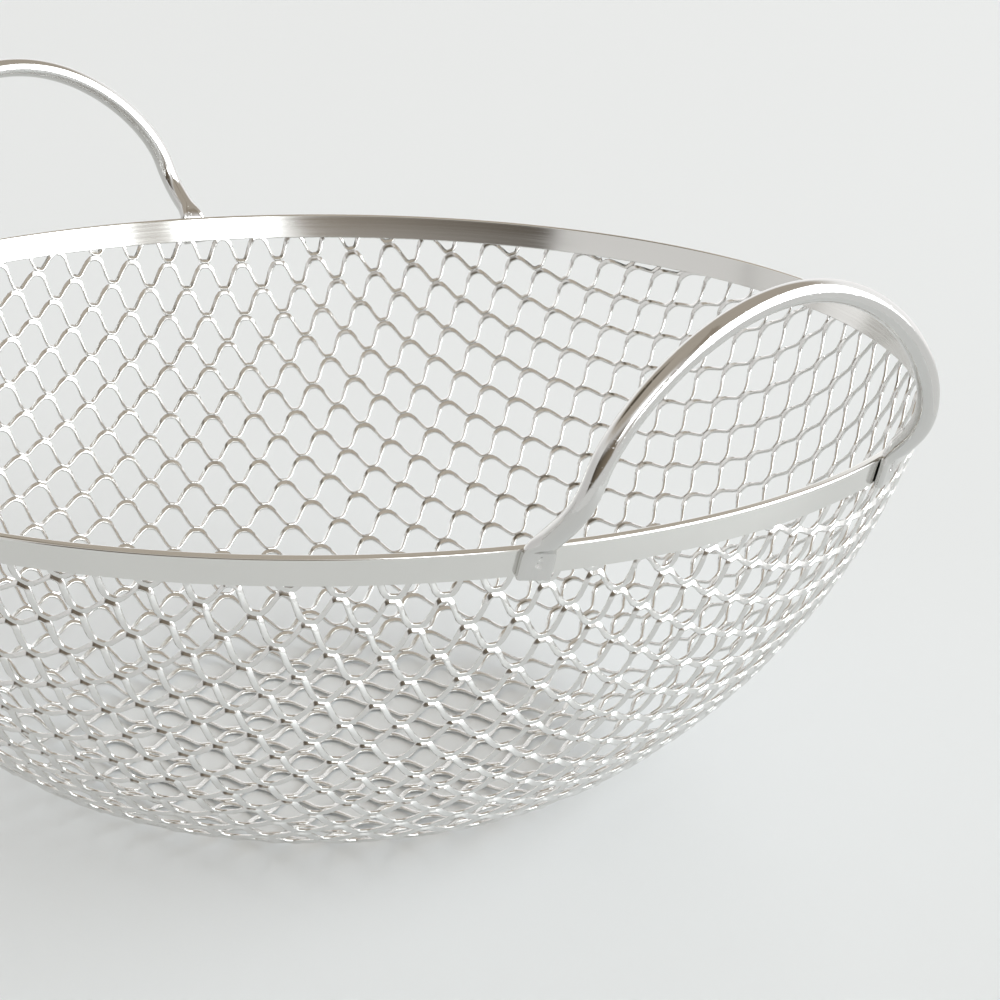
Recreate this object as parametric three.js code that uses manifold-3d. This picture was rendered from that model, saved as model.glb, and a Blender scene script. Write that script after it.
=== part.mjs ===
// Colander: a bowl drawn from expanded steel mesh, a folded rim band and two welded wire handles.
// Millimetres, +Z up. Origin at the middle of the floor's underside, handles on the X axis.
import * as THREE from 'three';
import { mergeVertices } from 'three/addons/utils/BufferGeometryUtils.js';
import Module from 'manifold-3d';

// Bowl, measured on the middle of the sheet
const rimRadius = 118.4;
const floorRadius = 38;
const heelRadius = 55;
const heelAngle = THREE.MathUtils.degToRad(37);
const wallAngle = THREE.MathUtils.degToRad(74);
const sheetThickness = 0.7;

// Expanded mesh, measured on the flat sheet before it is drawn
const blankRadius = 173;
const longPitch = 28;
const shortPitch = 32;
const strandWidth = 2.2;
const bondDepth = 3.2;
const meshTurn = THREE.MathUtils.degToRad(-27);

// Pressed edge of the mesh inside the rim band
const hemThickness = 1.2;
const hemHeight = 2.6;

// Rim band, a strip folded over the hem
const bandSheet = 0.45;
const bandHeight = 5.4;
const bandClearance = 0.3;
const foldSteps = 4;
const turnSteps = 72;

// Wire handles
const wireDiameter = 4;
const tabWidth = 6.2;
const tabThickness = 1.7;
const tabSpread = 40.5;
const weldGap = 0.3;
const gripHalfWidth = 39.5;
const gripReach = 3.6;
const gripFoot = 8;
const gripHeight = 30.5;
const gripLean = THREE.MathUtils.degToRad(10.5);
const legSlant = THREE.MathUtils.degToRad(15.5);
const legPull = 15.7;
const crownPull = 19.3;
const footBend = 3;
const legBend = 4;
const tabSquareness = 0.45;
const wireSides = 10;
const wireSteps = { tab: 2, footBend: 5, shank: 2, legBend: 5, grip: 12 };

const steel = {
  mesh: { color: 0xc9cbca, roughness: 0.26, metalness: 1 },
  band: { color: 0xcfd1d0, roughness: 0.22, metalness: 1 },
  wire: { color: 0xd6d7d5, roughness: 0.12, metalness: 1 },
};

// Lengths along the meridian, from the middle of the floor to the top of the hem
const heelLength = heelRadius * heelAngle;
const heelEnd = floorRadius + heelRadius * Math.sin(heelAngle);
const wallRadius = (rimRadius - heelEnd) / (Math.sin(wallAngle) - Math.sin(heelAngle));
const wallStart = floorRadius + heelLength;
const hemTop = wallStart + wallRadius * (wallAngle - heelAngle);

// Half thicknesses measured from the middle of the sheet
const pocketHalf = hemThickness / 2 + bandClearance;
const bandHalf = pocketHalf + bandSheet;
const foldCentre = hemTop + bandClearance;
const bandTop = foldCentre + bandHalf;
const bandFoot = bandTop - bandHeight;

// Radius, height and slope of the sheet's middle at a length along the meridian
function meridian(length) {
  const floorMiddle = sheetThickness / 2;
  if (length <= floorRadius) return { radius: length, height: floorMiddle, slope: 0 };
  if (length <= wallStart) {
    const slope = (length - floorRadius) / heelRadius;
    const radius = floorRadius + heelRadius * Math.sin(slope);
    return { radius, height: floorMiddle + heelRadius * (1 - Math.cos(slope)), slope };
  }
  const reached = Math.min(length, hemTop);
  const beyond = length - reached;
  const slope = heelAngle + (reached - wallStart) / wallRadius;
  const rise = heelRadius * (1 - Math.cos(heelAngle)) + wallRadius * (Math.cos(heelAngle) - Math.cos(slope));
  const radius = heelEnd + wallRadius * (Math.sin(slope) - Math.sin(heelAngle));
  return {
    radius: radius + beyond * Math.cos(slope),
    height: floorMiddle + rise + beyond * Math.sin(slope),
    slope,
  };
}

// Point of the meridian plane, moved out from the middle of the sheet along its normal
function profilePoint(length, outward) {
  const at = meridian(length);
  const radius = at.radius + outward * Math.sin(at.slope);
  return new THREE.Vector2(radius, at.height - outward * Math.cos(at.slope));
}

function revolve(points) {
  return new THREE.LatheGeometry(points, turnSteps).rotateX(Math.PI / 2);
}

// Booleans
const wasm = await Module();
wasm.setup();

function solid(geometry) {
  const bare = new THREE.BufferGeometry();
  bare.setAttribute('position', geometry.getAttribute('position'));
  if (geometry.index) bare.setIndex(geometry.index);
  const merged = mergeVertices(bare, 1e-4);
  const triVerts = new Uint32Array(merged.index.array);
  const vertProperties = new Float32Array(merged.getAttribute('position').array);
  return new wasm.Manifold(new wasm.Mesh({ numProp: 3, vertProperties, triVerts }));
}

function geometryOf(manifold) {
  const mesh = manifold.getMesh();
  const geometry = new THREE.BufferGeometry();
  geometry.setAttribute('position', new THREE.BufferAttribute(mesh.vertProperties, 3));
  geometry.setIndex(new THREE.BufferAttribute(mesh.triVerts, 1));
  geometry.computeVertexNormals();
  return geometry;
}

// Place on the drawn bowl of a point of the flat sheet: the blank's edge comes to the top of the hem
function drawn(across, along, outward) {
  const flatRadius = Math.hypot(across, along);
  const shortening = 1 - hemTop / blankRadius;
  const length = flatRadius * (1 - shortening * (flatRadius / blankRadius) ** 2);
  const point = profilePoint(length, outward);
  const azimuth = Math.atan2(along, across) + meshTurn - Math.PI / 2;
  return [point.x * Math.cos(azimuth), point.x * Math.sin(azimuth), point.y];
}

// The sheet as a lattice of bonds: each mesh of it has a bond at either end, above and below
function expandedSheet() {
  const bond = (i, j) => [(i + j) / 2 * longPitch, (j - i) / 2 * shortPitch];
  const reach = blankRadius + Math.max(longPitch, shortPitch);
  const steps = Math.ceil(reach / longPitch + reach / shortPitch);
  const inside = (i, j) => {
    const [left, level] = bond(i, j);
    return Math.hypot(left + longPitch / 2, level) < reach;
  };
  const side = Math.hypot(longPitch, shortPitch) / 2;
  const tip = longPitch / 2 - strandWidth * side / shortPitch;
  const top = shortPitch / 2 - bondDepth;
  const flat = (bondDepth - strandWidth * side / longPitch) * longPitch / shortPitch;
  const opening = [[-tip, 0], [-flat, top], [flat, top], [tip, 0], [flat, -top], [-flat, -top]];
  const nearest = ['L', 'T', 'T', 'R', 'B', 'B'];
  const positions = [];
  const triangle = (a, b, c, outward) => {
    for (const [across, along] of [a, b, c]) positions.push(...drawn(across, along, outward));
  };
  const wall = (a, b) => {
    const half = sheetThickness / 2;
    positions.push(...drawn(...a, half), ...drawn(...b, -half), ...drawn(...b, half));
    positions.push(...drawn(...a, half), ...drawn(...a, -half), ...drawn(...b, -half));
  };
  const both = (a, b, c) => {
    triangle(a, b, c, sheetThickness / 2);
    triangle(a, c, b, -sheetThickness / 2);
  };
  for (let i = -steps; i <= steps; i += 1) {
    for (let j = -steps; j <= steps; j += 1) {
      if (!inside(i, j)) continue;
      const corner = { L: bond(i, j), T: bond(i, j + 1), R: bond(i + 1, j + 1), B: bond(i + 1, j) };
      const middle = [corner.L[0] + longPitch / 2, corner.L[1]];
      const edge = opening.map(([x, y]) => [middle[0] + x, middle[1] + y]);
      nearest.forEach((name, n) => {
        const next = (n + 1) % nearest.length;
        const far = nearest[next];
        both(corner[name], edge[next], edge[n]);
        if (far !== name) both(corner[name], corner[far], edge[next]);
        wall(edge[next], edge[n]);
      });
      if (!inside(i - 1, j)) wall(corner.L, corner.T);
      if (!inside(i, j + 1)) wall(corner.T, corner.R);
      if (!inside(i + 1, j)) wall(corner.R, corner.B);
      if (!inside(i, j - 1)) wall(corner.B, corner.L);
    }
  }
  const geometry = new THREE.BufferGeometry();
  geometry.setAttribute('position', new THREE.Float32BufferAttribute(positions, 3));
  return geometry;
}

// Everything below the middle of the hem, square to the sheet there
function belowHem() {
  const cut = hemTop - hemHeight / 2;
  const margin = rimRadius / 4;
  const inner = profilePoint(cut, -margin);
  const outer = profilePoint(cut, margin);
  return revolve([
    new THREE.Vector2(0, -margin),
    new THREE.Vector2(outer.x, -margin),
    outer,
    inner,
    new THREE.Vector2(0, inner.y),
  ]);
}

function hem() {
  const half = hemThickness / 2;
  const foot = hemTop - hemHeight;
  const corners = [[foot, half], [hemTop, half], [hemTop, -half], [foot, -half], [foot, half]];
  return revolve(corners.map(([length, outward]) => profilePoint(length, outward)));
}

function meshBowl() {
  const trimmed = solid(expandedSheet()).intersect(solid(belowHem()));
  return geometryOf(trimmed.add(solid(hem())));
}

// Rim band: outer leg, round fold, inner leg, and back round the pocket
function rimBand() {
  const points = [profilePoint(bandFoot, bandHalf)];
  for (let n = 0; n <= foldSteps; n += 1) {
    const turn = n / foldSteps * Math.PI;
    points.push(profilePoint(foldCentre + bandHalf * Math.sin(turn), bandHalf * Math.cos(turn)));
  }
  points.push(profilePoint(bandFoot, -bandHalf));
  points.push(profilePoint(bandFoot, -pocketHalf));
  points.push(profilePoint(foldCentre, -pocketHalf));
  points.push(profilePoint(foldCentre, pocketHalf));
  points.push(profilePoint(bandFoot, pocketHalf));
  points.push(points[0].clone());
  return revolve(points);
}

// Half of a handle's centre line, from the foot of its tab to the crown of the grip
function handleHalf() {
  const tabMiddle = bandHalf + weldGap + tabThickness / 2;
  const onBand = (length) => {
    const point = profilePoint(length, tabMiddle);
    const azimuth = Math.asin(tabSpread / point.x);
    return new THREE.Vector3(point.x * Math.cos(azimuth), tabSpread, point.y);
  };
  const rim = profilePoint(bandTop, 0);
  const inPlane = (side, up) => new THREE.Vector3(
    rim.x + gripReach + up * Math.sin(gripLean),
    side,
    rim.y + gripFoot + up * Math.cos(gripLean),
  );
  const foot = onBand(bandFoot);
  const tabTop = onBand(bandTop);
  const leg = inPlane(gripHalfWidth, 0);
  const legUp = inPlane(gripHalfWidth - legPull * Math.sin(legSlant), legPull * Math.cos(legSlant));
  const towards = (from, to, distance) => from.clone().add(to.clone().sub(from).setLength(distance));
  const tabEnd = towards(tabTop, foot, footBend);
  const shankStart = towards(tabTop, leg, footBend);
  const shankEnd = towards(leg, tabTop, legBend);
  const legStart = towards(leg, legUp, legBend);
  const crown = [inPlane(crownPull, gripHeight), inPlane(0, gripHeight)];
  const path = new THREE.CurvePath();
  path.add(new THREE.LineCurve3(foot, tabEnd));
  path.add(new THREE.QuadraticBezierCurve3(tabEnd, tabTop, shankStart));
  path.add(new THREE.LineCurve3(shankStart, shankEnd));
  path.add(new THREE.QuadraticBezierCurve3(shankEnd, leg, legStart));
  path.add(new THREE.CubicBezierCurve3(legStart, legUp, ...crown));
  return path;
}

// Wire along the centre line, pressed flat at the tab: width and thickness there, round further on
function handle() {
  const half = handleHalf();
  const stations = [];
  Object.entries(wireSteps).forEach(([part, steps], order) => {
    const curve = half.curves[order];
    for (let n = order === 0 ? 0 : 1; n <= steps; n += 1) {
      const share = n / steps;
      stations.push({ point: curve.getPoint(share), ahead: curve.getTangent(share), part, share });
    }
  });
  const lean = new THREE.Vector3(Math.cos(gripLean), 0, -Math.sin(gripLean));
  const section = ({ point, ahead, part, share }) => {
    const easing = part === 'footBend' ? 1 - THREE.MathUtils.smoothstep(share, 0, 1) : 0;
    const pressed = part === 'tab' ? 1 : easing;
    const outward = new THREE.Vector3(point.x, point.y, 0).normalize().lerp(lean, 1 - pressed);
    const thick = outward.addScaledVector(ahead, -outward.dot(ahead)).normalize();
    const wide = new THREE.Vector3().crossVectors(ahead, thick);
    const halfWidth = THREE.MathUtils.lerp(wireDiameter, tabWidth, pressed) / 2;
    const halfThick = THREE.MathUtils.lerp(wireDiameter, tabThickness, pressed) / 2;
    const roundness = THREE.MathUtils.lerp(1, tabSquareness, pressed);
    const bent = (value) => Math.sign(value) * Math.abs(value) ** roundness;
    return Array.from({ length: wireSides }, (unused, n) => {
      const turn = (n + 0.5) / wireSides * 2 * Math.PI;
      return point.clone()
        .addScaledVector(thick, halfThick * bent(Math.cos(turn)))
        .addScaledVector(wide, halfWidth * bent(Math.sin(turn)));
    });
  };
  const rings = stations.map(section);
  const across = (point) => new THREE.Vector3(point.x, -point.y, point.z);
  const mirrored = rings.slice(0, -1).reverse().map((ring) => ring.map(across));
  return loft([...rings, ...mirrored]);
}

// Closed skin over a row of rings, with a flat cap at either end
function loft(rings) {
  const sides = rings[0].length;
  const positions = rings.flat().flatMap((point) => point.toArray());
  const index = [];
  for (let r = 0; r + 1 < rings.length; r += 1) {
    for (let n = 0; n < sides; n += 1) {
      const a = r * sides + n;
      const b = r * sides + (n + 1) % sides;
      index.push(a, b, b + sides, a, b + sides, a + sides);
    }
  }
  const last = (rings.length - 1) * sides;
  for (let n = 1; n + 1 < sides; n += 1) {
    index.push(0, n + 1, n);
    index.push(last, last + n, last + n + 1);
  }
  const geometry = new THREE.BufferGeometry();
  geometry.setAttribute('position', new THREE.Float32BufferAttribute(positions, 3));
  geometry.setIndex(index);
  geometry.computeVertexNormals();
  return geometry;
}

function piece(name, geometry, finish) {
  const mesh = new THREE.Mesh(geometry, new THREE.MeshStandardMaterial(finish));
  mesh.name = name;
  return mesh;
}

const colander = new THREE.Group();
colander.add(piece('mesh_bowl', meshBowl(), steel.mesh));
colander.add(piece('rim_band', rimBand(), steel.band));
colander.add(piece('handle_right', handle(), steel.wire));
const leftHandle = piece('handle_left', handle(), steel.wire);
leftHandle.rotation.z = Math.PI;
colander.add(leftHandle);

export default colander;
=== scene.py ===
import math

import bpy
import numpy as np
from mathutils import Matrix, Vector, noise


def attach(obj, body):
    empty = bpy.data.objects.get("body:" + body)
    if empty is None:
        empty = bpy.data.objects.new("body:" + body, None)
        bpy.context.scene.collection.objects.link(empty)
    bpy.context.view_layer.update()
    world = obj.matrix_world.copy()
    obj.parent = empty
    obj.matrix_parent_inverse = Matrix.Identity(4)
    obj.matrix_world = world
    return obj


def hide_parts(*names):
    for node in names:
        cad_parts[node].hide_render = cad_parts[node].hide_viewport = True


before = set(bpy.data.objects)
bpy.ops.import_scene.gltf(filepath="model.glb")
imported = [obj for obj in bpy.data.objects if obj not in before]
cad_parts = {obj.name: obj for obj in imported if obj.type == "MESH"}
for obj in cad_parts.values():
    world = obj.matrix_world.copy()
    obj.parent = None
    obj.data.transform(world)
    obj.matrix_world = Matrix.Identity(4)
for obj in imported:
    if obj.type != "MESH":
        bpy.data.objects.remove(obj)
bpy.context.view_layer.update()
scene = bpy.context.scene
scene.view_settings.view_transform = "Standard"
mm = 0.001
metre = 1000.0  # millimetres
print("frame loaded:", sorted(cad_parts))


def unit(vectors):
    return vectors / np.linalg.norm(vectors, axis=-1, keepdims=True)


def smooth(low, high, value):
    share = np.clip((value - low) / (high - low), 0, 1)
    return share * share * (3 - 2 * share)


def walkedLengths(points):
    return np.concatenate([[0], np.cumsum(np.linalg.norm(np.diff(points, axis=0), axis=1))])


def toLinear(colour):
    parts = [int(colour[n:n + 2], 16) / 255 for n in (1, 3, 5)]
    return [c / 12.92 if c <= 0.04045 else ((c + 0.055) / 1.055) ** 2.4 for c in parts] + [1]


def addNode(tree, kind, inputs, **settings):
    node = tree.nodes.new(kind)
    for name, value in settings.items():
        setattr(node, name, value)
    for name, value in inputs.items():
        if isinstance(value, bpy.types.NodeSocket):
            tree.links.new(value, node.inputs[name])
        else:
            node.inputs[name].default_value = value
    return node


def newMaterial(name):
    material = bpy.data.materials.new(name)
    material.use_nodes = True
    tree = material.node_tree
    tree.nodes.clear()
    return material, tree


def addPiece(name, points, faces, material, normals=None, drawn=None):
    mesh = bpy.data.meshes.new(name)
    mesh.from_pydata((np.asarray(points) * mm).tolist(), [], [list(face) for face in faces])
    mesh.polygons.foreach_set("use_smooth", [True] * len(mesh.polygons))
    if drawn is not None:  # place on the straight wire, before it was bent
        layer = mesh.attributes.new("drawn", "FLOAT_VECTOR", "POINT")
        layer.data.foreach_set("vector", (np.asarray(drawn) * mm).astype(np.float32).ravel())
    mesh.update()
    if normals is not None:
        mesh.normals_split_custom_set_from_vertices(np.asarray(normals).tolist())
    mesh.materials.append(material)
    piece = bpy.data.objects.new(name, mesh)
    scene.collection.objects.link(piece)
    return piece


# Bowl form, millimetres, on the middle of the sheet
bowl = {
    "rimRadius": 118.4,
    "floorRadius": 38.0,
    "heelRadius": 55.0,
    "heelAngle": math.radians(37),
    "wallAngle": math.radians(74),
    "floorMiddle": 0.35,  # height of the middle of the sheet
}
heelEnd = bowl["floorRadius"] + bowl["heelRadius"] * math.sin(bowl["heelAngle"])
wallRadius = (bowl["rimRadius"] - heelEnd) / (math.sin(bowl["wallAngle"]) - math.sin(bowl["heelAngle"]))
wallStart = bowl["floorRadius"] + bowl["heelRadius"] * bowl["heelAngle"]
edgeLength = wallStart + wallRadius * (bowl["wallAngle"] - bowl["heelAngle"])


# Radius, height and slope at a length along the sheet from the middle of the floor
def meridian(length):
    length = np.asarray(length, float)
    onWall = np.minimum(length, edgeLength)
    heel = np.clip((length - bowl["floorRadius"]) / bowl["heelRadius"], 0, bowl["heelAngle"])
    slope = np.where(length > wallStart, bowl["heelAngle"] + (onWall - wallStart) / wallRadius, heel)
    heelRadius = np.minimum(length, bowl["floorRadius"]) + bowl["heelRadius"] * np.sin(heel)
    wallOut = wallRadius * (np.sin(slope) - math.sin(bowl["heelAngle"]))
    wallUp = wallRadius * (math.cos(bowl["heelAngle"]) - np.cos(slope))
    beyond = np.maximum(length - edgeLength, 0)
    radius = heelRadius + np.where(length > wallStart, wallOut, 0) + beyond * np.cos(slope)
    height = bowl["heelRadius"] * (1 - np.cos(heel)) + np.where(length > wallStart, wallUp, 0)
    return radius, height + bowl["floorMiddle"] + beyond * np.sin(slope), slope


# Point and outward normal there, moved outward from the middle of the sheet
def onSheet(length, azimuth, outward):
    radius, height, slope = meridian(length)
    reach, height = radius + outward * np.sin(slope), height - outward * np.cos(slope)
    reach, height, slope, azimuth = np.broadcast_arrays(reach, height, slope, azimuth)
    around = np.stack([np.cos(azimuth), np.sin(azimuth), np.zeros_like(reach)], -1)
    upright = np.array([0.0, 0.0, 1.0])
    point = reach[..., None] * around + height[..., None] * upright
    return point, np.sin(slope)[..., None] * around - np.cos(slope)[..., None] * upright


# The last nodes of each stainless steel: two tones, two ends of gloss, and the worked surface
def finishSteel(tree, finish, tone, gloss, normal):
    noiseMiddle = (0.3, 0.7)  # where most of a noise lies
    rough = addNode(tree, "ShaderNodeMapRange", {
        "Value": gloss, "From Min": noiseMiddle[0], "From Max": noiseMiddle[1],
        "To Min": finish["roughness"][0], "To Max": finish["roughness"][1]})
    tint = addNode(tree, "ShaderNodeValToRGB", {"Fac": tone})
    for element, colour in zip(tint.color_ramp.elements, finish["tones"]):
        element.color = toLinear(colour)
    steel = addNode(tree, "ShaderNodeBsdfPrincipled", {
        "Base Color": tint.outputs["Color"], "Metallic": 1.0, "Roughness": rough.outputs["Result"],
        "Normal": normal})
    addNode(tree, "ShaderNodeOutputMaterial", {"Surface": steel.outputs["BSDF"]})


# Expanded stainless sheet, electropolished after drawing: soft mirror with rounded edges and faint
# orange peel, so that every bar throws a clear glint
expandedFinish = {
    "tones": ("#dddcda", "#e6e5e3"),
    "roughness": (0.12, 0.2),
    "cloudSize": 7.0,  # millimetres
    "peelSize": 0.9,
    "peelDepth": 0.05,
    "peelStrength": 0.08,
}


def expandedSteel():
    finish = expandedFinish
    material, tree = newMaterial("stainlessExpandedElectropolished")
    place = addNode(tree, "ShaderNodeTexCoord", {}).outputs["Object"]
    peel = addNode(tree, "ShaderNodeTexNoise", {
        "Vector": place, "Scale": metre / finish["peelSize"], "Detail": 2.0}).outputs["Fac"]
    cloud = addNode(tree, "ShaderNodeTexNoise", {
        "Vector": place, "Scale": metre / finish["cloudSize"], "Detail": 3.0}).outputs["Fac"]
    bump = addNode(tree, "ShaderNodeBump", {
        "Height": peel, "Strength": finish["peelStrength"], "Distance": finish["peelDepth"] * mm})
    finishSteel(tree, finish, cloud, cloud, bump.outputs["Normal"])
    return material


# Stainless strip, cold rolled bright and folded: a clean grey face with faint lines along the strip
stripFinish = {
    "tones": ("#dddcd9", "#e2e1de"),
    "roughness": (0.1, 0.18),
    "cloudSize": 14.0,  # millimetres
    "lineWidth": 0.25,  # coarser than the real lines so that they show
    "lineLength": 60.0,
    "lineDepth": 0.05,
    "lineStrength": 0.05,
}


def stripSteel():
    finish = stripFinish
    material, tree = newMaterial("stainlessStripRolledBright")
    place = addNode(tree, "ShaderNodeTexCoord", {}).outputs["Object"]
    lineScale = [metre / finish[size] for size in ("lineLength", "lineLength", "lineWidth")]
    stretch = addNode(tree, "ShaderNodeMapping", {"Vector": place, "Scale": lineScale})
    lines = addNode(tree, "ShaderNodeTexNoise", {
        "Vector": stretch.outputs["Vector"], "Scale": 1.0, "Detail": 3.0}).outputs["Fac"]
    cloud = addNode(tree, "ShaderNodeTexNoise", {
        "Vector": place, "Scale": metre / finish["cloudSize"], "Detail": 2.0}).outputs["Fac"]
    bump = addNode(tree, "ShaderNodeBump", {
        "Height": lines, "Strength": finish["lineStrength"], "Distance": finish["lineDepth"] * mm})
    finishSteel(tree, finish, cloud, lines, bump.outputs["Normal"])
    return material


# Stainless wire, drawn and polished: near mirror, with draw lines and tiny pits that fray the
# edges of its reflections
wireFinish = {
    "tones": ("#d0cfcd", "#d8d7d5"),
    "roughness": (0.05, 0.1),
    "lineWidth": 0.3,  # millimetres, coarser than the real lines so that they show
    "lineLength": 9.0,
    "lineDepth": 0.1,
    "lineStrength": 0.11,
    "pitSize": 0.5,
    "pitNoise": (0.25, 0.4),  # a pit is where the noise is lowest
    "pitDepth": 0.05,
    "pitStrength": 0.2,
}


def wireSteel():
    finish = wireFinish
    material, tree = newMaterial("stainlessWireDrawnPolished")
    place = addNode(tree, "ShaderNodeAttribute", {}, attribute_name="drawn").outputs["Vector"]
    lineScale = [metre / finish[size] for size in ("lineLength", "lineWidth", "lineWidth")]
    stretch = addNode(tree, "ShaderNodeMapping", {"Vector": place, "Scale": lineScale})
    lines = addNode(tree, "ShaderNodeTexNoise", {
        "Vector": stretch.outputs["Vector"], "Scale": 1.0, "Detail": 4.0}).outputs["Fac"]
    pits = addNode(tree, "ShaderNodeTexNoise", {
        "Vector": place, "Scale": metre / finish["pitSize"], "Detail": 3.0}).outputs["Fac"]
    level = addNode(tree, "ShaderNodeMapRange", {
        "Value": pits, "From Min": finish["pitNoise"][0], "From Max": finish["pitNoise"][1],
        "To Min": 0.0, "To Max": 1.0}, interpolation_type="SMOOTHSTEP")
    lineBump = addNode(tree, "ShaderNodeBump", {
        "Height": lines, "Strength": finish["lineStrength"], "Distance": finish["lineDepth"] * mm})
    pitBump = addNode(tree, "ShaderNodeBump", {
        "Height": level.outputs["Result"], "Strength": finish["pitStrength"],
        "Distance": finish["pitDepth"] * mm, "Normal": lineBump.outputs["Normal"]})
    finishSteel(tree, finish, lines, lines, pitBump.outputs["Normal"])
    return material


# Mesh, millimetres: lengths on the flat sheet, then the way it gives when it is drawn into the bowl
meshSheet = {
    "longPitch": 12.424,  # bond to bond along a row
    "shortPitch": 14.292,  # over two rows
    "firstBond": (86.05, 158.099),
    "turn": math.radians(-115.966),
    "steps": (-34, 62),  # bonds along a row, and rows, that reach past the edge on every side
    "rows": (-50, 10),
    "searchRadius": 190.0,  # on the flat sheet, well past the cut edge
    "spare": 14.0,  # past the edge, trimmed off later
    "gather": (-0.1727, 0.0865, -0.0136),  # radial, by even powers of the distance over drawRadius
    "gatherTwo": (0.0076, 0.0075),  # more along one axis of the mesh than across it
    "gatherFour": 0.007,
    "shearTwo": (-0.0035, -0.018),
    "shearFour": -0.0089,
    "drawRadius": 120.0,
    "strandWidth": 1.2,
    "strandThickness": 0.65,
    "edgeRound": 0.22,
    "faceCrown": 0.1,
    "lowerFlat": 0.9,  # straight run of a bond's lower half, then of its upper half
    "upperFlat": 0.9,
    "lowerPull": 0.2,  # shares of a leg; the upper half is bent rounder
    "upperPull": 0.29,
    "bondOverlap": 0.06,
    "lowerOut": -0.12,
    "upperOut": 0.18,
    "steepSlope": (math.radians(5), math.radians(40)),  # strands lie flat on the floor, twisted on the wall
    "lowerFacing": math.radians(16),  # lower half leans out, its face turned a little upwards
    "lowerTilt": math.radians(58),  # at most, from the sheet
    "upperTilt": math.radians(-3),
    "fallTilt": math.radians(44),  # legs that fall to the right, then those that rise
    "riseTilt": math.radians(51),
    "twistBy": 0.26,  # shares of the way down a leg
    "untwistFrom": 0.5,
    "riseShare": 0.7,  # of the width, drawn out thinner
    "thinOver": ((0.05, 0.3), (0.6, 0.95)),
    "legBulge": 0.25,  # legs stand out from the sheet below the bend
    "bulgeAt": 0.4,
    "legStations": (0, 0.04, 0.08, 0.12, 0.17, 0.24, 0.36, 0.52, 0.7, 0.86, 1),  # closest at the bend
    "inset": -0.4,
    "trimLength": edgeLength - 0.6,
    "pressFrom": edgeLength - 5.0,  # the edge is pressed flat where the band grips it
    "pressTo": edgeLength - 3.5,
    "pressMiddle": 0.1,
}
rimLengths = edgeLength + np.linspace(-9, 16, 60)  # length along the sheet by height, near the rim
rimHeights = meridian(rimLengths)[1]


def drawnSheet(across, along):
    reach = np.hypot(across, along)
    turn = np.arctan2(along, across)
    share = (reach / meshSheet["drawRadius"]) ** 2
    gather = sum(term * share ** (n + 1) for n, term in enumerate(meshSheet["gather"]))
    two = sum(term * share ** (n + 1) for n, term in enumerate(meshSheet["gatherTwo"]))
    shear = sum(term * share ** (n + 1) for n, term in enumerate(meshSheet["shearTwo"]))
    gather = gather + two * np.cos(2 * turn) + meshSheet["gatherFour"] * share ** 2 * np.cos(4 * turn)
    shear = shear * np.sin(2 * turn) + meshSheet["shearFour"] * share ** 2 * np.sin(4 * turn)
    return reach * (1 + gather), turn + meshSheet["turn"] + shear


# One strand runs from bond to bond: lower half of one above, upper half of the next below
def strandRuns(row):
    steps = np.arange(*meshSheet["steps"])
    upper = (steps - row) % 2 == 0
    across = meshSheet["firstBond"][0] - steps / 2 * meshSheet["longPitch"]
    level = np.where(upper, row, row - 1)
    along = meshSheet["firstBond"][1] + level / 2 * meshSheet["shortPitch"]
    length, azimuth = drawnSheet(across, along)
    inSearch = np.hypot(across, along) < meshSheet["searchRadius"]
    valid = (length < edgeLength + meshSheet["spare"]) & inSearch
    centre, normal = onSheet(length, azimuth, meshSheet["inset"])
    nudge = 0.1
    behind, _ = onSheet(*drawnSheet(across + nudge, along), meshSheet["inset"])
    ahead, _ = onSheet(*drawnSheet(across - nudge, along), meshSheet["inset"])
    right = ahead - behind
    right = unit(right - (right * normal).sum(-1, keepdims=True) * normal)
    lift = np.cross(normal, right)
    slope = meridian(length)[2]
    steep = smooth(*meshSheet["steepSlope"], slope)
    lowerTilt = math.pi / 2 + meshSheet["lowerFacing"] - slope
    lowerTilt = np.minimum(lowerTilt, meshSheet["lowerTilt"]) * steep
    tilt = np.where(upper, lowerTilt, meshSheet["upperTilt"])[:, None]
    widthAxis = np.cos(tilt) * lift - np.sin(tilt) * normal
    half = meshSheet["strandWidth"] / 2 - meshSheet["bondOverlap"]
    middle = centre + np.where(upper, -half, half)[:, None] * widthAxis
    middle = middle + np.where(upper, meshSheet["lowerOut"], meshSheet["upperOut"])[:, None] * normal
    runs = np.split(np.arange(len(steps)), np.nonzero(np.diff(valid.astype(int)))[0] + 1)
    flat = np.where(upper, meshSheet["lowerFlat"], meshSheet["upperFlat"])[:, None] / 2
    pull = np.where(upper, meshSheet["lowerPull"], meshSheet["upperPull"])[:, None]
    bonds = (middle, right, normal, tilt, steep[:, None], flat, pull, upper[:, None])
    return [[part[run] for part in bonds] for run in runs if valid[run[0]] and len(run) > 2]


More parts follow.
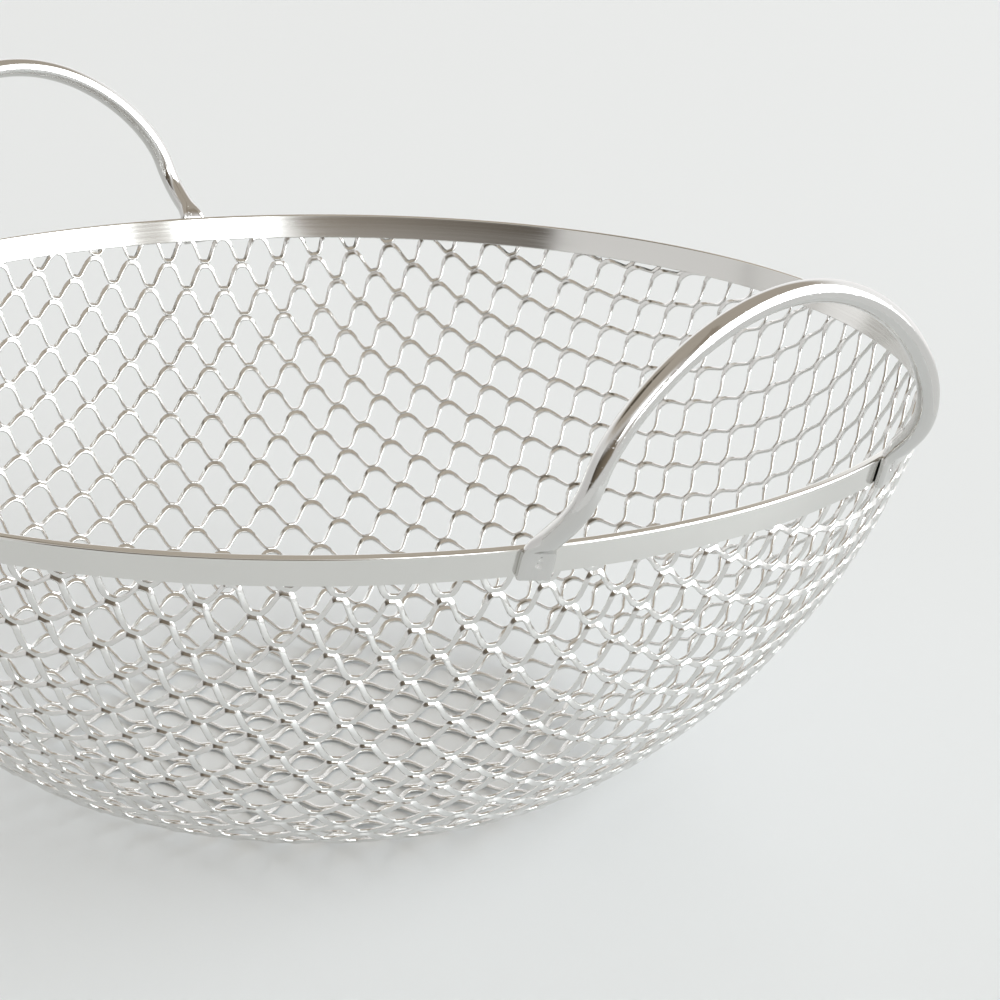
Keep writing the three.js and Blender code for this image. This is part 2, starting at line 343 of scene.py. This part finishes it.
def strandStations(middle, right, normal, tilt, steep, flat, pull, upper):
    falls = np.array(meshSheet["legStations"])[None, :, None]
    falling = upper[:-1, None]
    times = np.where(falling, falls, 1 - falls[:, ::-1])
    start = (middle + flat * right)[:-1, None]
    end = (middle - flat * right)[1:, None]
    span = np.linalg.norm(end - start, axis=-1, keepdims=True)
    first = start + pull[:-1, None] * span * right[:-1, None]
    second = end - pull[1:, None] * span * right[1:, None]
    outward = (normal[:-1, None] + normal[1:, None]) / 2

    def along(times):
        back = 1 - times
        fall = np.where(falling, times, back)  # from the bond above to the bond below
        bulge = smooth(0, meshSheet["bulgeAt"], fall)
        bulge = meshSheet["legBulge"] * bulge * (1 - smooth(meshSheet["bulgeAt"], 1, fall))
        bent = (back ** 3 * start + 3 * back ** 2 * times * first
                + 3 * back * times ** 2 * second + times ** 3 * end)
        return bent + bulge * outward, fall

    point, fall = along(times)
    nudge = 0.005
    ahead = unit(along(times + nudge)[0] - along(times - nudge)[0])
    face = (1 - times) * normal[:-1, None] + times * normal[1:, None]
    face = unit(face - (face * ahead).sum(-1, keepdims=True) * ahead)
    side = np.cross(face, ahead)
    high = np.where(falling, tilt[:-1, None], tilt[1:, None])
    low = np.where(falling, tilt[1:, None], tilt[:-1, None])
    twist = np.where(falling, meshSheet["fallTilt"], meshSheet["riseTilt"])
    twist = twist * (steep[:-1, None] + steep[1:, None]) / 2
    turn = high + (twist - high) * smooth(0, meshSheet["twistBy"], fall)
    turn = turn + (low - turn) * smooth(meshSheet["untwistFrom"], 1, fall)
    length = np.interp(point[..., 2], rimHeights, rimLengths)
    pressed = smooth(meshSheet["pressFrom"], meshSheet["pressTo"], length)[..., None]
    azimuth = np.arctan2(point[..., 1], point[..., 0])
    point = point + (onSheet(length, azimuth, meshSheet["pressMiddle"])[0] - point) * pressed
    turn = turn * (1 - pressed)
    thinFrom, thinTo = meshSheet["thinOver"]
    thinned = np.where(falling, 0, smooth(*thinFrom, fall) * (1 - smooth(*thinTo, fall)))
    wide = (np.cos(turn) * side - np.sin(turn) * face) * (1 - (1 - meshSheet["riseShare"]) * thinned)
    thick = np.cos(turn) * face + np.sin(turn) * side
    return [part.reshape(-1, 3) for part in (point, wide, thick)]


# Keeps what lies below the trimmed edge, with a last ring right on it
def trimmedRuns(point, wide, thick, top):
    stations = np.concatenate([point, wide, thick], axis=1)
    below = point[:, 2] <= top
    kept = []
    for run in np.split(np.arange(len(point)), np.nonzero(np.diff(below.astype(int)))[0] + 1):
        if not below[run[0]]:
            continue
        rows = [stations[run]]
        for inner, outer, order in ((run[0], run[0] - 1, 0), (run[-1], run[-1] + 1, 1)):
            if 0 <= outer < len(point):
                share = (top - point[inner, 2]) / (point[outer, 2] - point[inner, 2])
                cut = stations[inner] * (1 - share) + stations[outer] * share
                rows.insert(len(rows) if order else 0, cut[None])
        rows = np.concatenate(rows)
        if len(rows) > 2:
            kept.append((rows[:, :3], rows[:, 3:6], unit(rows[:, 6:9])))
    return kept


def tubeFaces(rings, sides, offset):
    index = offset + np.arange(rings * sides).reshape(rings, sides)
    turned = np.roll(index, -1, axis=1)
    quads = np.stack([index[:-1], turned[:-1], turned[1:], index[1:]], -1).reshape(-1, 4)
    return quads.tolist() + [index[0][::-1].tolist(), index[-1].tolist()]


def expandedMesh():
    halfWide = meshSheet["strandWidth"] / 2
    halfThick = meshSheet["strandThickness"] / 2
    flatWide = halfWide - meshSheet["edgeRound"]
    flatThick = halfThick - meshSheet["edgeRound"]
    crown = meshSheet["faceCrown"]
    section = np.array([(flatWide, halfThick), (-flatWide, halfThick), (-halfWide, flatThick),
                        (-halfWide, -flatThick), (-flatWide, -halfThick), (flatWide, -halfThick),
                        (halfWide, -flatThick), (halfWide, flatThick)])
    facing = unit(np.array([(crown, 1), (-crown, 1), (-1, crown), (-1, -crown),
                            (-crown, -1), (crown, -1), (1, -crown), (1, crown)]))
    top = onSheet(meshSheet["trimLength"], 0.0, 0.0)[0][2]
    points, normals, faces, count = [], [], [], 0
    for row in range(*meshSheet["rows"]):
        for run in strandRuns(row):
            for point, wide, thick in trimmedRuns(*strandStations(*run), top):
                wide, thick = wide[:, None], thick[:, None]
                ring = point[:, None] + section[:, :1] * wide + section[:, 1:] * thick
                points.append(ring.reshape(-1, 3))
                normals.append((facing[:, :1] * wide + facing[:, 1:] * thick).reshape(-1, 3))
                faces += tubeFaces(len(point), len(section), count)
                count += len(points[-1])
    points = np.concatenate(points)
    print("mesh strands:", len(points), "points, lowest", round(points[:, 2].min(), 3), "mm")
    return addPiece("expandedMesh", points, faces, expandedSteel(), unit(np.concatenate(normals)))


meshPiece = expandedMesh()
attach(meshPiece, "root")
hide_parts("mesh_bowl")


# Rim band, millimetres: a strip folded over the edge of the mesh
band = {
    "foot": edgeLength - 3.75,
    "top": edgeLength + 1.65,
    "outer": 0.85,
    "inner": -0.65,
    "sheet": 0.4,
    "slotRoof": 1.5,  # times the sheet, above the slot that holds the mesh
    "foldRound": 0.5,
    "foldSteps": 8,
    "footRound": 0.12,
    "footSteps": 4,
    "turns": 288,
}


# Quarter round of the band's outline: length, outward, then the normal in the same two axes
def cornerArc(length, outward, radius, start, steps):
    turns = np.radians(start + np.linspace(0, 90, steps + 1))
    return [(length + radius * math.sin(t), outward + radius * math.cos(t), math.sin(t), math.cos(t))
            for t in turns]


def rimBand():
    foot, top, outer, inner = band["foot"], band["top"], band["outer"], band["inner"]
    fold, small, sheet = band["foldRound"], band["footRound"], band["sheet"]
    slotTop = top - sheet * band["slotRoof"]
    slant = 0.7  # normals at the corners of the slot
    loop = cornerArc(foot + small, outer - small, small, -90, band["footSteps"])
    loop += [(foot + (top - fold - foot) * n / 4, outer, 0, 1) for n in (1, 2, 3)]
    loop += cornerArc(top - fold, outer - fold, fold, 0, band["foldSteps"])
    loop += [(top, (outer + inner) / 2, 1, 0)]
    loop += cornerArc(top - fold, inner + fold, fold, 90, band["foldSteps"])
    loop += [(foot + (top - fold - foot) * n / 4, inner, 0, -1) for n in (3, 2, 1)]
    loop += cornerArc(foot + small, inner + small, small, 180, band["footSteps"])
    loop += [(foot + small, inner + sheet, -slant, slant), (slotTop, inner + sheet, -slant, slant)]
    loop += [(slotTop, outer - sheet, -slant, -slant), (foot + small, outer - sheet, -slant, -slant)]
    loop = np.array(loop)
    turns = np.linspace(0, 2 * math.pi, band["turns"], endpoint=False)
    point, face = onSheet(loop[None, :, 0], turns[:, None], loop[None, :, 1])
    slope = float(meridian(band["top"])[2])
    rise = np.stack([np.cos(turns) * math.cos(slope), np.sin(turns) * math.cos(slope),
                     np.full_like(turns, math.sin(slope))], -1)[:, None]
    normal = unit(loop[None, :, 2:3] * rise + loop[None, :, 3:4] * face)
    count = len(loop)
    index = np.arange(band["turns"] * count).reshape(band["turns"], count)
    after = np.roll(index, -1, axis=0)
    faces = []
    for n in range(count):
        m = (n + 1) % count
        faces += np.stack([index[:, n], after[:, n], after[:, m], index[:, m]], -1).tolist()
    print("rim band:", index.size, "points")
    return addPiece("rimBand", point.reshape(-1, 3), faces, stripSteel(), normal.reshape(-1, 3))


bandPiece = rimBand()
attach(bandPiece, "root")
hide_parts("rim_band")


# Wire handle, millimetres: flat tabs on the band, a short shank, then the grip
handle = {
    "wire": 4.0,
    "tabWidth": 6.0,
    "tabThickness": 1.6,
    "tabEdge": 0.55,
    "tabAbove": (0.2, 0.4),  # above the foot and the top of the band
    "lip": {"length": 0.5, "narrow": 0.16, "turns": (8, 25, 45, 68)},  # rounded end of the tab
    "gripHeight": 30.5,
    "legSlant": math.radians(15.5),
    "legPull": 15.7,
    "crownPull": 19.3,
    "footBend": 1.4,
    "legBend": 5.5,
    "flatRun": (0.6, 5.0),  # before and after the end of the tab, where the flat wire turns round
    "step": 0.3,
    "ringPoints": 48,
    "weld": {"width": 0.8, "height": 1.1, "depth": 0.6, "sink": 0.2, "coarse": 1.3, "fine": 2.9,
             "place": 0.75, "face": 0.9},  # shares of the tab's length and of half its thickness
    "sides": {  # the two were bent by hand and sit a little differently
        "handleRight": {"turn": math.radians(1.2), "tabSpread": 40.9, "halfWidth": 39.7, "reach": 3.5,
                        "foot": 8.5, "lean": math.radians(10.5)},
        "handleLeft": {"turn": math.radians(178.1), "tabSpread": 39.8, "halfWidth": 39.2, "reach": 3.0,
                       "foot": 6.3, "lean": math.radians(10)},
    },
}


# Outline of the wire with rounded corners, its points evenly spaced
def wireSection(halfWide, halfThick, corner):
    arcStep = 5  # degrees
    turns = np.radians(np.arange(0, 360, arcStep) + arcStep / 2)
    cosines, sines = np.cos(turns), np.sin(turns)
    spread = np.stack([np.sign(cosines) * (halfWide - corner), np.sign(sines) * (halfThick - corner)], -1)
    outline = spread + corner * np.stack([cosines, sines], -1)
    outline = np.concatenate([[[halfWide, 0]], outline, [[halfWide, 0]]])
    walked = walkedLengths(outline)
    marks = np.linspace(0, walked[-1], handle["ringPoints"], endpoint=False)
    return np.stack([np.interp(marks, walked, outline[:, axis]) for axis in (0, 1)], -1)


def bezier(corners, steps):
    times = np.linspace(0, 1, steps + 1)[:, None]
    line = [np.repeat(np.asarray(c, float)[None], steps + 1, 0) for c in corners]
    while len(line) > 2:
        line = [a * (1 - times) + b * times for a, b in zip(line, line[1:])]
    return line[0] * (1 - times) + line[1] * times, unit(line[1] - line[0])


# Middle line of half a handle, from its tab to the top of the grip
def handleLine(side):
    tabMiddle = band["outer"] + handle["tabThickness"] / 2

    def onBand(length):
        radius, height = onSheet(length, 0.0, tabMiddle)[0][[0, 2]]
        azimuth = math.asin(side["tabSpread"] / radius)
        return np.array([radius * math.cos(azimuth), side["tabSpread"], height])

    rim = onSheet(band["top"], 0.0, 0.0)[0]

    def inPlane(aside, up):
        return np.array([rim[0] + side["reach"] + up * math.sin(side["lean"]), aside,
                         rim[2] + side["foot"] + up * math.cos(side["lean"])])

    def towards(start, end, distance):
        return start + (end - start) / np.linalg.norm(end - start) * distance

    foot = onBand(band["foot"] + handle["tabAbove"][0])
    tabTop = onBand(band["top"] + handle["tabAbove"][1])
    leg = inPlane(side["halfWidth"], 0)
    slant, pull = handle["legSlant"], handle["legPull"]
    legUp = inPlane(side["halfWidth"] - pull * math.sin(slant), pull * math.cos(slant))
    tabEnd = towards(tabTop, foot, handle["footBend"])
    shankStart = towards(tabTop, leg, handle["footBend"])
    shankEnd = towards(leg, tabTop, handle["legBend"])
    legStart = towards(leg, legUp, handle["legBend"])
    crown = inPlane(handle["crownPull"], handle["gripHeight"]), inPlane(0, handle["gripHeight"])
    parts = [(foot, tabEnd), (tabEnd, tabTop, shankStart), (shankStart, shankEnd),
             (shankEnd, leg, legStart), (legStart, legUp, *crown)]
    points, tangents = [], []
    for corners in parts:
        reach = sum(np.linalg.norm(b - a) for a, b in zip(corners, corners[1:]))
        point, tangent = bezier(corners, max(3, int(reach / handle["step"])))
        points.append(point[1 if points else 0:])
        tangents.append(tangent[1 if tangents else 0:])
    return np.concatenate(points), np.concatenate(tangents), np.linalg.norm(tabEnd - foot)


# Dented, raised spot in the tab's face
def weldMark(across, along):
    weld = handle["weld"]
    shaped = np.empty(len(across))
    for n, x in enumerate(across):
        near = math.exp(-(x / weld["width"]) ** 4 - (along / weld["height"]) ** 4)
        coarse = noise.noise(Vector((x * weld["coarse"], along * weld["coarse"], 3.0)))
        fine = noise.noise(Vector((x * weld["fine"], along * weld["fine"], 7.0)))
        shaped[n] = weld["depth"] * near * (coarse + fine - weld["sink"])
    return shaped


def wireHandle(name, material):
    side, lip, weld = handle["sides"][name], handle["lip"], handle["weld"]
    points, tangents, tabLength = handleLine(side)
    walked = walkedLengths(points)
    lean = np.array([math.cos(side["lean"]), 0, -math.sin(side["lean"])])
    ends = [(-lip["length"] * math.cos(t), math.sin(t)) for t in np.radians(lip["turns"])]
    flatFrom, flatTo = tabLength - handle["flatRun"][0], tabLength + handle["flatRun"][1]
    rings = []
    for shift, shrink in ends + [(0, 1)] * len(points):
        n = max(0, len(rings) - len(ends))
        point, ahead = points[n] + shift * tangents[n], tangents[n]
        flat = 1 - float(smooth(flatFrom, flatTo, walked[n]))
        outward = np.array([point[0], point[1], 0]) / math.hypot(point[0], point[1])
        outward = outward * flat + lean * (1 - flat)
        thick = unit(outward - outward.dot(ahead) * ahead)
        wide = np.cross(ahead, thick)
        halfWide = (handle["tabWidth"] * flat + handle["wire"] * (1 - flat)) / 2
        halfThick = (handle["tabThickness"] * flat + handle["wire"] * (1 - flat)) / 2
        corner = min(handle["tabEdge"] * flat + handle["wire"] / 2 * (1 - flat), halfThick)
        section = wireSection(halfWide, halfThick, corner)
        section[:, 0] *= 1 - lip["narrow"] * (1 - shrink)
        section[:, 1] *= shrink
        face = section[:, 1] > weld["face"] * halfThick
        section[face, 1] += weldMark(section[face, 0], walked[n] - tabLength * weld["place"])
        rings.append(point + section[:, :1] * wide + section[:, 1:] * thick)
    rings = np.array(rings)
    mirrored = rings[:-1][::-1] * np.array([1, -1, 1])
    rings = np.concatenate([rings, mirrored])
    cosine, sine = math.cos(side["turn"]), math.sin(side["turn"])
    spin = np.array([[cosine, -sine, 0], [sine, cosine, 0], [0, 0, 1]])
    along = walkedLengths(rings.mean(1))
    around = np.linspace(0, 2 * math.pi, handle["ringPoints"], endpoint=False)[None]
    radius = handle["wire"] / 2
    drawn = np.broadcast_arrays(along[:, None], radius * np.cos(around), radius * np.sin(around))
    drawn = np.stack(drawn, -1).reshape(-1, 3)
    faces = tubeFaces(len(rings), handle["ringPoints"], 0)
    print(name + ":", rings.shape[0], "rings")
    return addPiece(name, rings.reshape(-1, 3) @ spin.T, faces, material, drawn=drawn)


wireMaterial = wireSteel()
for pieceName, nodeName in (("handleRight", "handle_right"), ("handleLeft", "handle_left")):
    handlePiece = wireHandle(pieceName, wireMaterial)
    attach(handlePiece, "root")
    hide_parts(nodeName)


# Camera, metres: turned about the bowl's axis from the front
view = {
    "place": (0.4614, -0.3281, 0.2409),
    "turn": math.radians(51),
    "drop": math.radians(18.491),
    "roll": math.radians(0.815),
    "lens": 108.0,  # millimetres, as the sensor
    "sensor": 36.0,
    "clipEnd": 60.0,
}


def makeCamera():
    turn, drop, roll = view["turn"], view["drop"], view["roll"]
    back = Vector((math.sin(turn) * math.cos(drop), -math.cos(turn) * math.cos(drop), math.sin(drop)))
    level = Vector((math.cos(turn), math.sin(turn), 0))
    plumb = back.cross(level)
    right = math.cos(roll) * level + math.sin(roll) * plumb
    up = math.cos(roll) * plumb - math.sin(roll) * level
    data = bpy.data.cameras.new("camera")
    data.lens = view["lens"]
    data.sensor_width = view["sensor"]
    data.sensor_fit = "HORIZONTAL"
    data.clip_end = view["clipEnd"]
    camera = bpy.data.objects.new("camera", data)
    facing = Matrix((right, up, back)).transposed().to_4x4()
    camera.matrix_world = Matrix.Translation(view["place"]) @ facing
    scene.collection.objects.link(camera)
    scene.camera = camera


makeCamera()
print("camera set")


# Studio: pale board, soft windows on the camera's right, a dim room behind the camera.
# Angles are degrees to the right of the camera and above the board, as the bowl sees them
studio = {
    "boardTones": ("#e2e6e9", "#e4e8eb"),
    "boardRoughness": 0.35,
    "boardCloud": 400.0,  # millimetres
    "board": ((-6.0, -0.25), (0.17, -0.25), (1.45, 6.0), (-6.0, 6.0)),  # metres to the right and away
    "windowDistance": 4.0,  # metres
    "windowLevel": 3.95,
    "windowColour": "#f6fcff",
    "windows": {  # heights in metres
        "lowWindow": {"from": 14.0, "facing": 24.0, "to": 34.0, "low": 0.55, "high": 1.7},
        "tallWindow": {"from": 45.5, "facing": 78.0, "to": 112.0, "low": -0.6, "high": 3.75},
    },
    "roomLevel": 1.2,
    "wall": "#ffffff",
    "ceiling": "#b0a89c",
    "darkLeft": "#4d463d",  # dark part of the room, which pales to the right
    "darkRight": "#857a6b",
    "darkSpan": (-44.0, 25.0),
    "darkLean": 0.8,  # its right edge goes this many degrees left for each degree up
    "ground": "#ebeceb",  # pale surroundings beyond the board, which the steel shows too
    "edges": {  # by which angle, over which degrees, from and to which share
        "darkRight": ("lean", 22.0, 28.0, 1.0, 0.0),
        "darkLeft": ("turn", -51.0, -44.0, 0.0, 1.0),
        "dimLeft": ("turn", -140.0, -100.0, 0.0, 0.38),  # left of the dark part the wall is only dim
        "darkTop": ("rise", 14.0, 42.0, 1.0, 0.0),
        "ceiling": ("rise", 24.0, 42.0, 0.0, 1.0),
        "ground": ("rise", -13.0, -7.0, 1.0, 0.0),
    },
    "pier": {"middle": 39.7, "half": (6.5, 9.0), "share": 0.6},  # dim wall between the windows
    "hood": {"colour": "#5a5348", "turn": -91.0, "rise": 53.0, "size": (7.0, 17.0)},  # dark lamp hood
}


# Board, lacquered satin: even, with a faint sheen at low angles
def makeFloor():
    material, tree = newMaterial("boardLacqueredSatin")
    place = addNode(tree, "ShaderNodeTexCoord", {}).outputs["Object"]
    cloud = addNode(tree, "ShaderNodeTexNoise", {
        "Vector": place, "Scale": metre / studio["boardCloud"], "Detail": 2.0})
    tint = addNode(tree, "ShaderNodeValToRGB", {"Fac": cloud.outputs["Fac"]})
    for element, colour in zip(tint.color_ramp.elements, studio["boardTones"]):
        element.color = toLinear(colour)
    paint = addNode(tree, "ShaderNodeBsdfPrincipled", {
        "Base Color": tint.outputs["Color"], "Roughness": studio["boardRoughness"]})
    addNode(tree, "ShaderNodeOutputMaterial", {"Surface": paint.outputs["BSDF"]})
    turn = view["turn"]
    right = np.array([math.cos(turn), math.sin(turn), 0])
    away = np.array([-math.sin(turn), math.cos(turn), 0])
    corners = [aside * right + ahead * away for aside, ahead in studio["board"]]
    floor = addPiece("floor", np.array(corners) / mm, [(0, 1, 2, 3)], material)


def makeWindow(name):
    pane = studio["windows"][name]
    facing = math.radians(pane["facing"])
    near = studio["windowDistance"] * math.tan(math.radians(pane["from"]) - facing)
    far = studio["windowDistance"] * math.tan(math.radians(pane["to"]) - facing)
    turn = view["turn"] + facing
    away = Vector((math.sin(turn), -math.cos(turn), 0))
    along = Vector((math.cos(turn), math.sin(turn), 0))
    data = bpy.data.lights.new(name, "AREA")
    data.shape = "RECTANGLE"
    data.size = far - near
    data.size_y = pane["high"] - pane["low"]
    data.color = toLinear(studio["windowColour"])[:3]
    data.energy = studio["windowLevel"] * math.pi * data.size * data.size_y
    window = bpy.data.objects.new(name, data)
    up = Vector((0, 0, (pane["high"] + pane["low"]) / 2))
    window.location = away * studio["windowDistance"] + along * (near + far) / 2 + up
    window.rotation_mode = "QUATERNION"
    window.rotation_quaternion = away.to_track_quat("Z", "Y")
    window.visible_camera = False
    scene.collection.objects.link(window)


def makeRoom():
    world = bpy.data.worlds.new("room")
    scene.world = world
    world.use_nodes = True
    tree = world.node_tree
    tree.nodes.clear()
    place = addNode(tree, "ShaderNodeTexCoord", {}).outputs["Generated"]
    faced = addNode(tree, "ShaderNodeMapping", {
        "Vector": place, "Rotation": (0, 0, -view["turn"])}).outputs["Vector"]
    axes = addNode(tree, "ShaderNodeSeparateXYZ", {"Vector": faced}).outputs
    towards = addNode(tree, "ShaderNodeMath", {0: axes["Y"], 1: -1.0}, operation="MULTIPLY").outputs[0]
    turn = addNode(tree, "ShaderNodeMath", {0: axes["X"], 1: towards}, operation="ARCTAN2").outputs[0]
    rise = addNode(tree, "ShaderNodeMath", {0: axes["Z"]}, operation="ARCSINE").outputs[0]
    lean = addNode(tree, "ShaderNodeMath", {0: rise, 1: studio["darkLean"], 2: turn},
                   operation="MULTIPLY_ADD").outputs[0]
    angles = {"turn": turn, "rise": rise, "lean": lean}
    edge = {}
    for name, (angle, start, end, before, after) in studio["edges"].items():
        edge[name] = addNode(tree, "ShaderNodeMapRange", {
            "Value": angles[angle], "From Min": math.radians(start), "From Max": math.radians(end),
            "To Min": before, "To Max": after}, interpolation_type="SMOOTHSTEP").outputs["Result"]

    leftSide = addNode(tree, "ShaderNodeMath", {0: edge["darkLeft"], 1: edge["dimLeft"]},
                       operation="MAXIMUM").outputs[0]
    sides = addNode(tree, "ShaderNodeMath", {0: edge["darkRight"], 1: leftSide},
                    operation="MULTIPLY").outputs[0]
    shade = addNode(tree, "ShaderNodeMath", {0: sides, 1: edge["darkTop"]},
                    operation="MULTIPLY").outputs[0]
    pier = studio["pier"]
    offPier = addNode(tree, "ShaderNodeMath", {0: turn, 1: math.radians(pier["middle"])},
                      operation="SUBTRACT").outputs[0]
    besidePier = addNode(tree, "ShaderNodeMath", {0: offPier}, operation="ABSOLUTE").outputs[0]
    inPier = addNode(tree, "ShaderNodeMapRange", {
        "Value": besidePier, "From Min": math.radians(pier["half"][0]),
        "From Max": math.radians(pier["half"][1]), "To Min": pier["share"], "To Max": 0.0})
    shade = addNode(tree, "ShaderNodeMath", {0: shade, 1: inPier.outputs["Result"]},
                    operation="MAXIMUM").outputs[0]

    walls = addNode(tree, "ShaderNodeMix", {
        0: edge["ceiling"], 6: toLinear(studio["wall"]), 7: toLinear(studio["ceiling"])}, data_type="RGBA")
    across = addNode(tree, "ShaderNodeMapRange", {
        "Value": turn, "From Min": math.radians(studio["darkSpan"][0]),
        "From Max": math.radians(studio["darkSpan"][1])}).outputs["Result"]
    dark = addNode(tree, "ShaderNodeMix", {
        0: across, 6: toLinear(studio["darkLeft"]), 7: toLinear(studio["darkRight"])}, data_type="RGBA")
    around = addNode(tree, "ShaderNodeMix", {
        0: shade, 6: walls.outputs[2], 7: dark.outputs[2]}, data_type="RGBA")
    hood = studio["hood"]
    hoodTurn, hoodRise = math.radians(hood["turn"]), math.radians(hood["rise"])
    hoodAxis = (math.sin(hoodTurn) * math.cos(hoodRise), -math.cos(hoodTurn) * math.cos(hoodRise),
                math.sin(hoodRise))
    facing = addNode(tree, "ShaderNodeVectorMath", {0: faced, 1: hoodAxis},
                     operation="DOT_PRODUCT").outputs["Value"]
    inHood = addNode(tree, "ShaderNodeMapRange", {
        "Value": facing, "From Min": math.cos(math.radians(hood["size"][1])),
        "From Max": math.cos(math.radians(hood["size"][0]))}, interpolation_type="SMOOTHSTEP")
    around = addNode(tree, "ShaderNodeMix", {
        0: inHood.outputs["Result"], 6: around.outputs[2], 7: toLinear(hood["colour"])}, data_type="RGBA")

    path = addNode(tree, "ShaderNodeLightPath", {}).outputs
    mirrored = addNode(tree, "ShaderNodeMath", {0: path["Is Glossy Ray"], 1: path["Is Transmission Ray"]},
                       operation="MAXIMUM").outputs[0]
    ground = addNode(tree, "ShaderNodeMath", {0: mirrored, 1: edge["ground"]},
                     operation="MULTIPLY").outputs[0]
    shown = addNode(tree, "ShaderNodeMath", {0: path["Is Camera Ray"], 1: ground},
                    operation="MAXIMUM").outputs[0]
    lit = addNode(tree, "ShaderNodeBackground", {
        "Color": around.outputs[2], "Strength": studio["roomLevel"]}).outputs[0]
    pale = addNode(tree, "ShaderNodeBackground", {
        "Color": toLinear(studio["ground"]), "Strength": 1.0}).outputs[0]
    both = addNode(tree, "ShaderNodeMixShader", {"Fac": shown, 1: lit, 2: pale})
    addNode(tree, "ShaderNodeOutputWorld", {"Surface": both.outputs[0]})


makeFloor()
for windowName in studio["windows"]:
    makeWindow(windowName)
makeRoom()
print("studio set")
